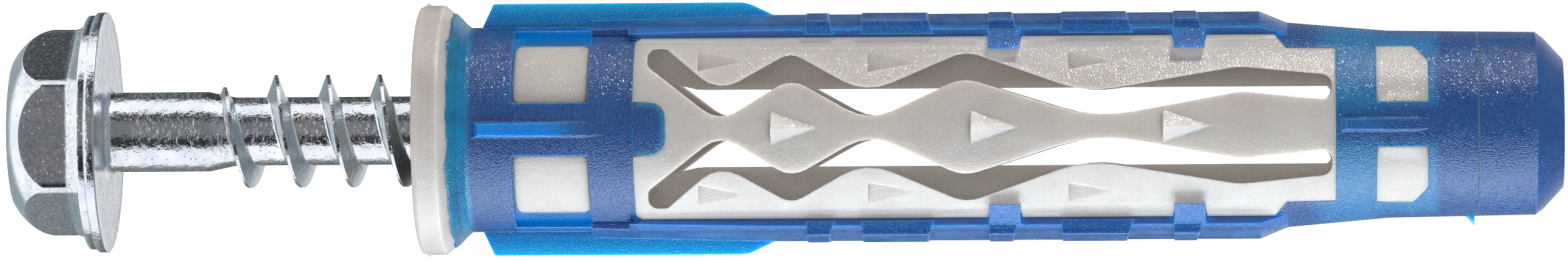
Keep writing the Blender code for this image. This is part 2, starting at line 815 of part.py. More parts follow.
def build_shell(collection, material):
    """Blue moulding: cone, neck, bars, bands, rails, lugs, fins, ribs and nose."""
    start = at(1.65) + JOINT_GAP
    band_end = at(9.61)
    shell = spin("plug_shell", [
        (SHELL_SEAT, start),
        (cone_radius(start), start),
        (NECK_RADIUS, CONE_END),
        (NECK_RADIUS, band_end),
        (SHELL_SEAT, band_end),
    ], collection)

    # Openings near the collar: a shallow step all over, then a hole for the grey pad
    builder = bmesh.new()
    for side in (1.0, -1.0):
        for face in (1.0, -1.0):
            outline = box_outline(at(4.30), at(7.66), side * BAR_HALF, side * across(4.26))
            add_prism(builder, outline, facing_front, face * across(0.6), face * FAR)
    steps = as_cutter(mesh_object("opening_steps", builder, CUTTERS))
    step_core = as_cutter(spin("opening_core", [
        (0.0, at(3.0)), (PAD_RADIUS, at(3.0)), (PAD_RADIUS, at(9.0)), (0.0, at(9.0)),
    ], CUTTERS))
    boolean(steps, step_core, "DIFFERENCE")
    boolean(shell, steps, "DIFFERENCE")
    builder = bmesh.new()
    for side in (1.0, -1.0):
        for face in (1.0, -1.0):
            add_prism(builder, sleeve_window(side, 0.0), facing_front,
                      face * across(0.6), face * FAR)
    holes = as_cutter(mesh_object("opening_holes", builder, CUTTERS))
    boolean(shell, holes, "DIFFERENCE")

    # Nose: a thick sleeve closed by a lip round the bore
    nose = as_cutter(spin("nose_sleeve", [
        (NOSE_SEAT, at(37.38)),
        (nose_radius(at(37.38)), at(37.38)),
        (nose_radius(at(42.40)), at(42.40)),
        (nose_radius(at(48.80)), at(48.80)),
        (across(3.72), at(49.15)),
        (across(2.80), at(50.00)),
        (NOSE_BORE / 2.0, at(50.00)),
        (NOSE_BORE / 2.0, at(49.00)),
        (NOSE_SEAT, at(49.00)),
    ], CUTTERS))
    builder = bmesh.new()
    below = leg_window_end(-1.0, 0.0)
    above = leg_window_end(1.0, 0.0)
    outline = below + (
        (at(40.08), below[1][1]),
        (at(40.08), above[1][1]),
        above[1],
        above[0],
    )
    add_prism(builder, outline, facing_front, -FAR, FAR)
    for face in (1.0, -1.0):
        for side in (1.0, -1.0):
            add_prism(builder, nose_window(side, 0.0), facing_front,
                      face * across(0.6), face * FAR)
    nose_holes = as_cutter(mesh_object("nose_openings", builder, CUTTERS))
    boolean(nose, nose_holes, "DIFFERENCE")

    # Rails, cut to the outer line of the plug
    builder = bmesh.new()
    add_both_sides(builder, rail_section(0.0, FAR), at(9.3), at(40.3))
    rails = as_cutter(mesh_object("rails", builder, CUTTERS))
    builder = bmesh.new()
    add_both_sides(builder, (
        (across(4.1), -across(1.9)),
        (FAR, -across(1.9)),
        (FAR, across(1.9)),
        (across(4.1), across(1.9)),
    ), at(7.62), at(9.8))
    starts = as_cutter(mesh_object("rail_starts", builder, CUTTERS))
    boolean(rails, starts, "UNION")
    envelope = as_cutter(spin("rail_envelope", shell_envelope(), CUTTERS))
    boolean(rails, envelope, "INTERSECT")

    boolean(shell, rails, "UNION")
    boolean(shell, nose, "UNION")

    # Tongues front and back, and the soft corners of the long opening
    builder = bmesh.new()
    for face in (1.0, -1.0):
        add_prism(builder, tongue_outline(0.0), facing_front, face * across(2.5), face * FAR)
        for side in (1.0, -1.0):
            add_prism(builder, leg_window_start(side, 0.0), facing_front,
                      face * across(1.2), face * FAR)
    tongues = as_cutter(mesh_object("tongues", builder, CUTTERS))
    tongue_ring = as_cutter(spin("tongue_ring", [
        (SHELL_SEAT + across(0.07), at(8.8)),
        (NECK_RADIUS - across(0.04), at(8.8)),
        (LEG_RADIUS, at(11.5)),
        (SHELL_SEAT + across(0.07), at(11.5)),
    ], CUTTERS))
    boolean(tongues, tongue_ring, "INTERSECT")
    boolean(shell, tongues, "UNION")

    # Fins
    builder = bmesh.new()
    root = across(4.2)
    tip = FIN_HEIGHT
    for sign in (1.0, -1.0):
        corners = (
            (at(2.62), sign * root, 0.0),
            (at(3.24), sign * tip, across(0.12)),
            (at(14.35), sign * tip, across(1.3)),
            (at(15.60), sign * (RAIL_RADIUS - across(0.03)), 0.0),
            (at(15.60), sign * root, 0.0),
        )
        add_prism(builder, rounded(corners, 4), facing_front,
                  -FIN_THICKNESS / 2.0, FIN_THICKNESS / 2.0)
    fins = as_cutter(mesh_object("fins", builder, CUTTERS))
    boolean(shell, fins, "UNION")

    # Lugs on the rails
    builder = bmesh.new()
    for side in (1.0, -1.0):
        for start, end, lipped in RAIL_LUGS:
            outline = (
                (at(start), side * across(3.70)),
                (at(end), side * across(3.70)),
                (at(end - 0.62), side * across(5.6)),
                (at(start), side * across(5.6)),
            )
            add_prism(builder, outline, facing_front, -FAR, FAR)
    lugs = as_cutter(mesh_object("lugs", builder, CUTTERS))
    builder = bmesh.new()
    lug_floor = RAIL_SEAT + across(0.03)
    add_both_sides(builder, (
        (lug_floor, -across(2.05)),
        (across(4.06), -across(2.63)),
        (across(4.68), -across(2.63)),
        (across(4.99), -across(1.2)),
        (across(5.02), 0.0),
        (across(4.99), across(1.2)),
        (across(4.68), across(2.63)),
        (across(4.06), across(2.63)),
        (lug_floor, across(2.05)),
    ), at(15.8), at(36.0))
    lug_section = as_cutter(mesh_object("lug_section", builder, CUTTERS))
    boolean(lugs, lug_section, "INTERSECT")
    boolean(shell, lugs, "UNION")
    builder = bmesh.new()
    for side in (1.0, -1.0):
        for face in (1.0, -1.0):
            for start, end, lipped in RAIL_LUGS:
                if not lipped:
                    continue
                outline = box_outline(at(start + 0.03), at(end - 0.03),
                                      side * across(3.37), side * across(4.35))
                add_prism(builder, outline, facing_front, face * across(1.5), face * FAR)
    lips = as_cutter(mesh_object("lips", builder, CUTTERS))
    lip_ring = as_cutter(spin("lip_ring", [
        (SHELL_SEAT + across(0.08), at(24.0)),
        (across(5.00), at(24.0)),
        (across(5.00), at(36.0)),
        (SHELL_SEAT + across(0.08), at(36.0)),
    ], CUTTERS))
    boolean(lips, lip_ring, "INTERSECT")
    boolean(shell, lips, "UNION")

    # Ribs on the bars and on the nose
    builder = bmesh.new()
    for face in (1.0, -1.0):
        half = across(0.36)
        add_hull(builder, rib_points(at(2.60), at(8.40), half, NECK_RADIUS + across(0.27),
                                     NECK_RADIUS - across(0.01), NECK_RADIUS - across(0.3),
                                     face))
        add_hull(builder, rib_points(at(40.25), at(44.10), across(0.31), across(4.46),
                                     across(4.05), across(3.80), face))
    ribs = as_cutter(mesh_object("ribs", builder, CUTTERS))
    boolean(shell, ribs, "UNION")
    finish_node(shell, material)
    return shell


def rib_points(start, end, half, high, low, base, face):
    """A rib that stands highest at its start and runs out flush at its end."""
    slope = across(0.30)
    points = []
    for side in (1.0, -1.0):
        points += [
            (side * half, face * base, start),
            (side * half, face * (high - across(0.28)), start),
            (side * half * 0.7, face * high, start + slope),
            (side * half * 0.7, face * low, end),
            (side * half, face * base, end),
            (side * half, face * (low - across(0.06)), end),
        ]
    return points


def shade(item):
    """Smooth shading with sharp creases."""
    item.data.shade_smooth()
    item.data.set_sharp_from_angle(angle=math.radians(32.0))


clear_scene()
PART = new_collection("wall_plug_with_screw")
CUTTERS = new_collection("cutters")
CUTTERS.hide_render = True
GREY = make_material("grey_plastic", (0.62, 0.60, 0.57), 0.0, 0.55)
BLUE = make_material("blue_plastic", (0.02, 0.14, 0.48), 0.0, 0.50)
ZINC = make_material("zinc_plate", (0.72, 0.73, 0.75), 1.0, 0.28)
NOSE_ROUND = as_cutter(spin("nose_pad_round", [
    (0.0, at(41.0)),
    (nose_radius(at(41.0)) - across(0.02), at(41.0)),
    (nose_radius(at(42.40)) - across(0.02), at(42.40)),
    (nose_radius(at(45.0)) - across(0.02), at(45.0)),
    (0.0, at(45.0)),
], CUTTERS))
SCREW = build_screw(PART, ZINC)
BODY = build_body(PART, GREY)
SHELL = build_shell(PART, BLUE)
for node in (SCREW, BODY, SHELL):
    shade(node)
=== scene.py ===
"""Finished surfaces of the wall plug and its flanged hexagon screw.

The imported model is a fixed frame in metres: the screw stands on its crown at z = 0 and
the plug points up. Every new piece is a numpy surface, a function of two parameters.
"""
import math

import bmesh
import bpy
import numpy as np
from bpy.props import (
    FloatProperty, FloatVectorProperty, IntProperty, PointerProperty,
)
from mathutils import Matrix, Vector


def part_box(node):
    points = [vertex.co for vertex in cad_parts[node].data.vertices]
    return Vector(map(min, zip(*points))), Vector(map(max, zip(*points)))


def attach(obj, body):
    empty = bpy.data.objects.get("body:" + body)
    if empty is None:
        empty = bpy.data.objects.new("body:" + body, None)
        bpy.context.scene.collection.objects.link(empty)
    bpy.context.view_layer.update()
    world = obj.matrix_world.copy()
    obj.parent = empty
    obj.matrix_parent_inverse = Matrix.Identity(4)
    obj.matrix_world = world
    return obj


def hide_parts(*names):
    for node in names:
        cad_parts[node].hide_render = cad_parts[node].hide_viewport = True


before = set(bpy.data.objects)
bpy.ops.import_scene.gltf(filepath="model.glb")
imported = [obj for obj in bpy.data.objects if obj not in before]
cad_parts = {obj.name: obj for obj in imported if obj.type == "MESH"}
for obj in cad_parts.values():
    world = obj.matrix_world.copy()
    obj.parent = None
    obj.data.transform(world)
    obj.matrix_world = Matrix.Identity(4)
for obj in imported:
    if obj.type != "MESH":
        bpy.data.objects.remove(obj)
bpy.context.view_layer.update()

bl_info = {
    "name": "Wall plug with screw",
    "version": (1, 0, 0),
    "blender": (4, 5, 0),
    "location": "3D View > Sidebar > Wall plug",
    "description": "Builds the finished surfaces of a wall plug and its screw",
    "category": "Object",
}

MM = 0.001
MERGE = 1e-7
BLACK = (0.0, 0.0, 0.0)
WHITE = (1.0, 1.0, 1.0)
SCREW_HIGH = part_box("screw")[1]
BODY_LOW, BODY_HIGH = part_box("plug_body")
COLLAR_Z = BODY_LOW.z
PART_MIDDLE = (0.0, 0.0, 0.035)
NECK_RADIUS = 0.00448
NOSE_LINE_RADIUS = 0.00402
HOLLOW_DEPTH = 0.0008

# Places along the plug, in millimetres from the face of the collar
NIB = 0.37
CONE_SKIN = (1.0, 2.45)
CONE_START = 1.12
CONE_END = 2.27
FILM_EDGE = 1.60
FILM_END = 1.92
RIBS = (2.4, 8.0)
WINDOWS = (4.3, 7.65)
RAIL_START = 9.6
RAIL_END = 38.0
TONGUES = (9.75, 11.5)
FIRST_LIPS = (24.85, 26.55)
SECOND_LIPS = (32.92, 34.60)
WITNESS_LINES = (18.24, 22.11, 27.43, 31.58, 32.62, 34.87)
NOSE_FILM = (39.4, 42.1)
FLAKE = 45.62
NOSE_LINE = 46.26

# Places to either side of the axis, towards the fins, in millimetres
LIP_SIDES = (3.00, 3.95)
WINDOW_SIDES = (3.50, 4.46)
# A band beside the rails where a glow is painted on the grey
PAINTED_GLOW_SIDES = (3.76, 4.05)
STRIP_SIDES = (3.86, 4.44)

# Where the rounding of a tongue's corner has its middle, to the side and along the plug
TONGUE_CORNER = (0.42, 10.30)

# Windows of the nose: their middle's place to the side and along the plug, half their sides
NOSE_WINDOW = (2.36, 43.03)
NOSE_WINDOW_HALVES = (1.24, 1.13)


def length(name, description, default, **more):
    """A length property in metres."""
    return FloatProperty(name=name, description=description, default=default,
                         subtype="DISTANCE", unit="LENGTH", precision=5, **more)


def colour(name, description, default):
    """A colour property, linear red, green and blue."""
    return FloatVectorProperty(name=name, description=description, default=default,
                               subtype="COLOR", size=3, min=0.0, max=1.0)


class ScrewSizes(bpy.types.PropertyGroup):
    """Sizes and colours of the screw."""
    across_flats: length("Across flats", "Width of the hexagon", 0.0080)
    hex_height: length("Hexagon height", "From the crown to the flange", 0.0033)
    hex_turn: FloatProperty(name="Hexagon turn", description="Turn about the axis",
                            default=math.radians(2.6), subtype="ANGLE", unit="ROTATION")
    flare: length("Foot flare", "How far the foot of each flat runs out", 0.0003)
    flare_height: length("Flare height", "Height of the flared foot", 0.00055)
    crown_diameter: length("Crown diameter", "Flat disc of the crown", 0.0064)
    crown_depth: length("Crown depth", "How far the rounding runs down", 0.0020)
    flange_radius: length("Flange radius", "Outer radius of the flange", SCREW_HIGH.x)
    flange_thickness: length("Flange thickness", "Both layers", 0.00083)
    flange_step: length("Flange step", "How much smaller the first layer is", 0.00013)
    neck_fillet: length("Neck fillet", "Radius under the flange", 0.00036)
    shank_diameter: length("Shank diameter", "Plain shank", 0.0035)
    shank_length: length("Shank length", "Plain shank under the flange", 0.00445)
    shank_taper: length("Shank taper", "Run from shank to core", 0.0012)
    core_diameter: length("Core diameter", "Between the thread ridges", 0.0030)
    thread_diameter: length("Thread diameter", "Over the ridges", 0.00495)
    thread_pitch: length("Thread pitch", "Ridge to ridge", 0.002286)
    thread_phase: length("Thread phase", "Height of a ridge on the back side", 0.01154)
    crest_half: length("Crest half width", "Half the land of the ridge", 0.00007)
    flank_run: FloatProperty(name="Flank run", default=0.341,
                             description="Axial run of a flank for each unit of height")
    tip_height: length("Tip height", "Height of the point", SCREW_HIGH.z)
    point_length: length("Point length", "Tapered point", 0.0042)
    columns: IntProperty(name="Columns", description="Steps round the axis", default=240)
    zinc: colour("Zinc", "Colour of the plating", (0.80, 0.815, 0.83))


class PlugSizes(bpy.types.PropertyGroup):
    """Sizes and colours of the two mouldings of the plug."""
    edge_rounding: length("Edge rounding", "Soft edges of both mouldings", 0.00009)
    rim_rounding: length("Rim rounding", "Soft edges of the collar", 0.00035)
    seam: length("Seam", "Gap up to which the mouldings are drawn together", 0.00014)
    film_thickness: length("Film thickness", "Blue skin run out over the collar", 0.00004)
    film_reach: length("Film reach", "How far the skin runs out", 0.00017)
    nib_height: length("Nib height", "Parting nibs on the rim of the collar", 0.00016)
    flash_height: length("Flash height", "Flake of flash on the nose", 0.00046)
    grey: colour("Grey", "Colour of the body", (0.445, 0.408, 0.377))
    # Painted shade for the slots and recesses of the grey
    painted_recess_shade: colour("Grey in recesses", "Colour deep in the slots", (0.33, 0.285, 0.25))
    blue: colour("Blue", "Colour of the shell", (0.008, 0.056, 0.200))
    # Fin blue: the fins' clearer blue, with painted light from behind mixed in
    teal: colour("Fin blue", "Free edge of the fins", (0.0, 0.39, 0.60))
    # Thin blue: the colour of thin plastic, also used as painted light and glow in the thin
    # walls
    thin_blue_and_glow: colour("Thin blue", "Where the shell is thin", (0.0, 0.18, 0.52))


class StageSizes(bpy.types.PropertyGroup):
    """Camera, lights and floor."""
    distance: length("Camera distance", "From the axis to the camera", 0.384)
    camera_height: length("Camera height", "Height of the camera", 0.05476)
    aim_height: length("Aim height", "Height of the picture's middle", 0.0339)
    aim_side: length("Aim side", "Picture's middle beside the axis", 0.000107)
    lens: FloatProperty(name="Lens", description="Focal length in millimetres",
                        default=201.3, unit="CAMERA")
    roll: FloatProperty(name="Roll", description="Turn of the picture",
                        default=math.radians(0.37), subtype="ANGLE", unit="ROTATION")
    floor_radius: length("Floor radius", "Pale floor", 14.0)
    floor_drop: length("Floor drop", "Room under the crown for a drawn-out screw", 0.0125)


def at(distance_mm):
    """Height of a station of the plug, from its distance to the collar face in mm."""
    return COLLAR_Z + distance_mm * MM


def smooth_max(a, b, width):
    """The larger of two fields; where they differ by less than width, a soft blend."""
    near = np.maximum(width - np.abs(a - b), 0.0) / width
    return np.maximum(a, b) + near * near * width * 0.25


def round_angles(count):
    """Angles of count even steps round the axis, from 0."""
    return np.arange(count) * (2.0 * math.pi / count)


def grid_faces(rows, columns, closed=True):
    """Corner numbers of the quads of a rows by columns grid, closed round if asked."""
    row = np.arange(rows - 1)[:, None]
    column = np.arange(columns if closed else columns - 1)[None, :]
    after = (column + 1) % columns
    corners = (row * columns + column, row * columns + after,
               (row + 1) * columns + after, (row + 1) * columns + column)
    return np.stack(np.broadcast_arrays(*corners), axis=-1).reshape(-1, 4)


def polar_points(radius, angle, height):
    """Points from radius, angle about the axis and height, as one long list."""
    radius, angle, height = np.broadcast_arrays(radius, angle, height)
    points = np.stack((radius * np.cos(angle), radius * np.sin(angle), height), axis=-1)
    return points.reshape(-1, 3)


def add_object(name, data):
    """A new object in the scene."""
    item = bpy.data.objects.new(name, data)
    bpy.context.scene.collection.objects.link(item)
    return item


def surface_object(name, patches, sharp_angle):
    """Merge patches of points and faces into one smooth-shaded object."""
    points = []
    faces = []
    count = 0
    for patch_points, patch_faces in patches:
        points.append(patch_points)
        faces.append(patch_faces + count)
        count += len(patch_points)
    mesh = bpy.data.meshes.new(name)
    mesh.from_pydata(np.concatenate(points), [], np.concatenate(faces))
    finish_mesh(mesh, sharp_angle)
    return add_object(name, mesh)


def finish_mesh(mesh, sharp_angle):
    """Merge doubles, drop empty faces and shade smooth up to sharp_angle."""
    builder = bmesh.new()
    builder.from_mesh(mesh)
    bmesh.ops.remove_doubles(builder, verts=builder.verts[:], dist=MERGE)
    bmesh.ops.dissolve_degenerate(builder, edges=builder.edges[:], dist=MERGE * 0.1)
    builder.to_mesh(mesh)
    builder.free()
    mesh.shade_smooth()
    mesh.set_sharp_from_angle(angle=sharp_angle)


def hexagon_radius(sizes, angle):
    """Radius of the hexagon: a high power mean of its three pairs of flats."""
    power = 40.0
    total = 0.0
    for pair in range(3):
        normal = sizes.hex_turn + math.pi / 6.0 + pair * math.pi / 3.0
        total = total + np.abs(np.cos(angle - normal)) ** power
    return sizes.across_flats / 2.0 / total ** (1.0 / power)


def head_rows(sizes, angle):
    """Radius and height of the head, row by row, from the crown's middle to the shank.

    The crown is a flat disc. A rounding of sine and cosine runs from it down to where it
    meets the hexagon at each angle, and the flats run on from there to a flared foot.
    """
    flat = np.ones_like(angle)
    radii = []
    heights = []

    def add(radius, height):
        radii.append(radius * flat)
        heights.append(height * flat)

    crown = sizes.crown_diameter / 2.0
    disc_edge_dip = 0.000002
    crease_dip = 0.000012
    crease = math.radians(35.0)
    outer = sizes.across_flats * 0.57
    reach = (outer - crown) / (1.0 - math.sin(crease))
    drop = sizes.crown_depth / math.cos(crease)
    for share in (0.0, 0.25, 0.5, 0.75, 0.9, 0.96):
        add(crown * share, 0.0)
    add(crown * 0.985, disc_edge_dip)
    hexagon = hexagon_radius(sizes, angle)
    meeting = np.arcsin(np.clip(1.0 - (outer - hexagon) / reach, -1.0, 1.0))
    for share in np.linspace(0.0, 1.0, 17):
        turn = crease + (meeting - crease) * share
        add(outer - reach * (1.0 - np.sin(turn)),
            drop * (math.cos(crease) - np.cos(turn)) + crease_dip)
    start = drop * (math.cos(crease) - np.cos(meeting)) + crease_dip
    foot = sizes.hex_height - sizes.flare_height
    for share in (0.015, 0.04, 0.1, 0.2, 0.35, 0.5, 0.65, 0.8, 0.92):
        add(hexagon, start + (foot - start) * share)
    for share in np.linspace(0.0, 1.0, 10):
        run_out = sizes.flare * (share ** 2 * 0.75 + 0.25 * share)
        add(hexagon * (1.0 + run_out / (sizes.across_flats / 2.0)),
            foot + sizes.flare_height * share)
    profile_r, profile_z = flange_profile(sizes)
    for radius, height in zip(profile_r, profile_z):
        add(radius, height)
    return np.array(radii), np.array(heights)


def flange_profile(sizes):
    """Two stacked rims with a fine line between them, the underside and the fillet."""
    outer = sizes.flange_radius
    inner = outer - sizes.flange_step
    low = sizes.hex_height
    high = low + sizes.flange_thickness
    middle = low + sizes.flange_thickness * 0.46
    soft = sizes.flange_thickness * 0.10
    groove = sizes.flange_thickness * 0.035
    foot_of_flats = sizes.across_flats * 0.59
    radii = []
    heights = []
    for share in (0.35, 0.7):
        radii.append(foot_of_flats + (inner - foot_of_flats) * share)
        heights.append(low)
    turn = np.linspace(0.0, math.pi / 2.0, 6)
    radii += list(inner - soft * (1.0 - np.sin(turn)))
    heights += list(low + soft * (1.0 - np.cos(turn)))
    radii += [inner, inner - groove * 0.3, inner - groove, inner - groove]
    heights += [middle - groove * 2.0, middle - groove, middle - groove * 0.4, middle]
    radii += list(outer - soft * (1.0 - np.sin(turn)))
    heights += list(middle + soft * (1.0 - np.cos(turn)))
    radii += list(outer - soft * (1.0 - np.cos(turn)))
    heights += list(high - soft * (1.0 - np.sin(turn)))
    shank = sizes.shank_diameter / 2.0
    foot = shank + sizes.neck_fillet
    for share in (0.25, 0.5, 0.75, 0.95):
        radii.append(outer - soft + (foot - outer + soft) * share)
        heights.append(high)
    turn = np.linspace(0.0, math.pi / 2.0, 9)
    radii += list(shank + sizes.neck_fillet * (1.0 - np.sin(turn)))
    heights += list(high + sizes.neck_fillet * (1.0 - np.cos(turn)))
    return radii, heights


def shank_end(sizes):
    """Height at which the plain shank ends."""
    return sizes.hex_height + sizes.flange_thickness + sizes.shank_length


def point_share(sizes, height):
    """0 up to where the point starts, 1 at its tip."""
    return np.clip((height - sizes.tip_height + sizes.point_length)
                   / sizes.point_length, 0.0, 1.0)


def core_radius(sizes, height):
    """Shank, then a taper to the core, then a point that closes as a power curve."""
    shank = sizes.shank_diameter / 2.0
    core = sizes.core_diameter / 2.0
    share = np.clip((height - shank_end(sizes)) / sizes.shank_taper, 0.0, 1.0)
    radius = shank + (core - shank) * share
    return radius * (1.0 - point_share(sizes, height) ** 1.6)


def crest_radius(sizes, height):
    """Outer radius of the ridge: it grows out of the shank and closes at the point."""
    sunk = 0.0002
    full = sizes.thread_diameter / 2.0
    low = sizes.shank_diameter / 2.0 - sunk
    start = shank_end(sizes) + sizes.thread_pitch * 0.75
    rise = np.clip(1.0 - (start - height) / (sizes.thread_pitch * 0.8), 0.0, 1.0)
    closing = point_share(sizes, height) ** 1.4
    radius = low + (full - low) * rise
    return radius * (1.0 - closing) + core_radius(sizes, height) * closing


def shaft_patch(sizes, angle, start):
    """The threaded shaft: a ridge profile carried up a helix.

    Height is the pitch times the turns, plus the place across the profile. Radius is the
    larger of the core and the ridge, whose flanks fall straight from a narrow crest.
    Rows below the start or above the tip are pressed onto those planes and merge there.
    """
    columns = len(angle)
    root_blend = 0.00007
    from_crest = np.array([0.0, 0.00002, 0.00004, 0.00007, 0.00012, 0.00018, 0.00024,
                           0.00030, 0.00035, 0.00039, 0.00044, 0.00052, 0.00066, 0.00088])
    across = np.concatenate((-from_crest[:0:-1], from_crest))
    across = np.append(across, 0.5 * sizes.thread_pitch)
    samples = len(across)
    turns = int(math.ceil((sizes.tip_height - start) / sizes.thread_pitch)) + 2
    base = sizes.thread_phase + sizes.thread_pitch * (
        math.floor((start - sizes.thread_phase) / sizes.thread_pitch) - 1)
    turn = np.arange(turns + 1)[:, None, None]
    lead = sizes.thread_pitch * (angle / (2.0 * math.pi) + 0.5)[None, None, :]
    ridge = base + sizes.thread_pitch * turn + lead
    height = ridge + across[None, :, None]
    crest = crest_radius(sizes, ridge)
    outside = np.maximum(np.abs(across) - sizes.crest_half, 0.0)[None, :, None]
    ridge_radius = crest - outside / sizes.flank_run
    pressed = np.clip(height, start, sizes.tip_height)
    radius = smooth_max(core_radius(sizes, pressed), ridge_radius, root_blend)
    radius = np.where(height <= start, core_radius(sizes, pressed), radius)
    radius = np.where(height >= sizes.tip_height, 0.0, radius)
    rows = (turns + 1) * samples
    points = polar_points(radius, angle[None, None, :], pressed)
    faces = grid_faces(rows, columns + 1, closed=False)
    row, column = np.divmod(faces, columns + 1)
    seam = column == columns
    row = np.where(seam, np.minimum(row + samples, rows - 1), row)
    column = np.where(seam, 0, column)
    return points, row * columns + column


def screw_patches(sizes):
    """Points and faces of the whole screw: the head's rows, then the shaft's helix."""
    angle = round_angles(sizes.columns) - math.pi
    radii, heights = head_rows(sizes, angle)
    start = sizes.hex_height + sizes.flange_thickness + sizes.shank_length * 0.82
    top = heights[-1][0]
    shank_rows = top + (start - top) * np.array((0.3, 0.6, 1.0))
    shank = np.full((len(shank_rows), len(angle)), sizes.shank_diameter / 2.0)
    radii = np.concatenate((radii, shank))
    heights = np.concatenate((heights, shank_rows[:, None] * np.ones_like(angle)))
    head_points = polar_points(radii, angle[None, :], heights)
    head_faces = grid_faces(len(radii), len(angle))
    return ((head_points, head_faces), shaft_patch(sizes, angle, start))


def closed_ring(radius, height, angle):
    """A ring whose profile rows close on themselves: outside upwards, inside back down."""
    rows, columns = radius.shape
    points = polar_points(radius, angle[None, :], height)
    return points, grid_faces(rows + 1, columns) % (rows * columns)


def film_ring(sizes):
    """Thin blue skin that has run out over the cone under the collar.

    Its free edge wanders as a sum of sines of the angle. The skin rises square to the
    cone just behind that edge, thins out again and sinks into the blue cone.
    """
    angle = round_angles(900)
    # The direction square to the cone
    outwards = 0.758
    upwards = 0.652
    # How many waves go round, how far each swings and how far it is shifted
    waves = ((5, 0.30, 0.4), (11, 0.30, 2.1), (17, 0.22, 4.0), (29, 0.16, 1.3), (43, 0.10, 5.2))
    wander = np.zeros_like(angle)
    for count, amount, shift in waves:
        wander += amount * np.sin(count * angle + shift)
    edge = at(FILM_EDGE) - sizes.film_reach * (0.5 + 0.5 * wander)
    share = np.array((0.0, 0.0, 0.05, 0.15, 0.40, 0.75, 1.0, 1.0))[:, None]
    lift = np.array((-1.5, 0.1, 0.8, 1.0, 0.9, 0.6, 0.2, -1.5))[:, None]
    height = edge[None, :] + (at(FILM_END) - edge)[None, :] * share
    lift = lift * sizes.film_thickness
    fall = BODY_HIGH.x - NECK_RADIUS
    cone_length = at(CONE_END) - at(CONE_START)
    cone = BODY_HIGH.x - fall * (height - at(CONE_START)) / cone_length
    return closed_ring(cone + lift * outwards, height + lift * upwards, angle)


def parting_nib(sizes, turn):
    """Small nib on the collar's rim: a power curve turned about its own middle."""
    half_turn = 0.034
    half_height = 0.00014
    around = round_angles(20)
    share = np.array((0.0, 0.08, 0.2, 0.4, 0.6, 0.8, 1.0, 1.0, 0.0))[:, None]
    rise = sizes.nib_height * (1.0 - share) ** 1.5
    rise[-2:] = -sizes.nib_height
    angle = turn + share * half_turn * np.cos(around)
    height = at(NIB) + share * half_height * np.sin(around)
    points = polar_points(BODY_HIGH.x + rise, angle, height)
    return points, grid_faces(len(share), len(around))[:, ::-1]


def nose_line(sizes):
    """Fine raised line round the nose where the mould parts, as a shallow bead."""
    bead_rise = 0.000014
    half_width = 0.00003
    angle = round_angles(360)
    turn = np.linspace(-0.5 * math.pi, 1.5 * math.pi, 10, endpoint=False)[:, None]
    radius = NOSE_LINE_RADIUS + bead_rise * np.cos(turn) + 0.0 * angle[None, :]
    height = at(NOSE_LINE) + half_width * np.sin(turn) + 0.0 * angle[None, :]
    return closed_ring(radius, height, angle)


def flash_flake(sizes):
    """Flake of flash on the nose: a thin blade whose height grows as a power curve."""
    sunk = 0.0001
    half_thickness = 0.000022
    blade_length = 0.0005
    around = round_angles(12)
    share = np.concatenate(((0.0,), np.linspace(0.0, 1.0, 20), (1.04, 1.04)))[:, None]
    rise = sizes.flash_height * np.clip(share, 0.0, 1.0) ** 1.7
    rise[-2:] = 0.0
    thick = np.ones_like(share)
    thick[0] = 0.0
    thick[-1] = 0.0
    reach = 0.5 + 0.5 * np.cos(around)
    across = NOSE_LINE_RADIUS - sunk + (rise + sunk) * reach * thick
    depth = half_thickness * np.sin(around) * (1.0 - 0.7 * reach) * thick
    height = at(FLAKE) + blade_length * share + 0.0 * around
    points = np.stack((across, depth, height), axis=-1).reshape(-1, 3)
    return points, grid_faces(len(share), len(around))


def press_against(piece, wall, reach):
    """Pull what lies within reach of the wall's surface onto it, so no gap shows."""
    group = piece.vertex_groups.new(name="near_wall")
    group.add(range(len(piece.data.vertices)), 1.0, "REPLACE")
    near = piece.modifiers.new("Near the wall", "VERTEX_WEIGHT_PROXIMITY")
    near.vertex_group = group.name
    near.target = wall
    near.proximity_mode = "GEOMETRY"
    near.proximity_geometry = {"FACE"}
    near.falloff_type = "STEP"
    near.min_dist = 2.0 * reach
    near.max_dist = 0.0
    seat = piece.modifiers.new("Seat", "SHRINKWRAP")
    seat.vertex_group = group.name
    seat.target = wall
    seat.wrap_method = "NEAREST_SURFACEPOINT"
    seat.wrap_mode = "ON_SURFACE"
    seat.offset = 0.0
    depsgraph = bpy.context.evaluated_depsgraph_get()
    seated = bpy.data.meshes.new_from_object(piece.evaluated_get(depsgraph))
    piece.modifiers.clear()
    piece.vertex_groups.clear()
    piece.data = seated


def moulded_copy(node, name):
    """A copy of a CAD node's mesh, merged and shaded smooth between its sharp edges."""
    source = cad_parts[node].data
    builder = bmesh.new()
    builder.from_mesh(source)
    bmesh.ops.remove_doubles(builder, verts=builder.verts[:], dist=MERGE)
    mesh = bpy.data.meshes.new(name)
    builder.to_mesh(mesh)
    builder.free()
    for attribute in list(mesh.attributes):
        if attribute.name == "custom_normal":
            mesh.attributes.remove(attribute)
    mesh.shade_smooth()
    mesh.set_sharp_from_angle(angle=math.radians(12.0))
    return add_object(name, mesh)


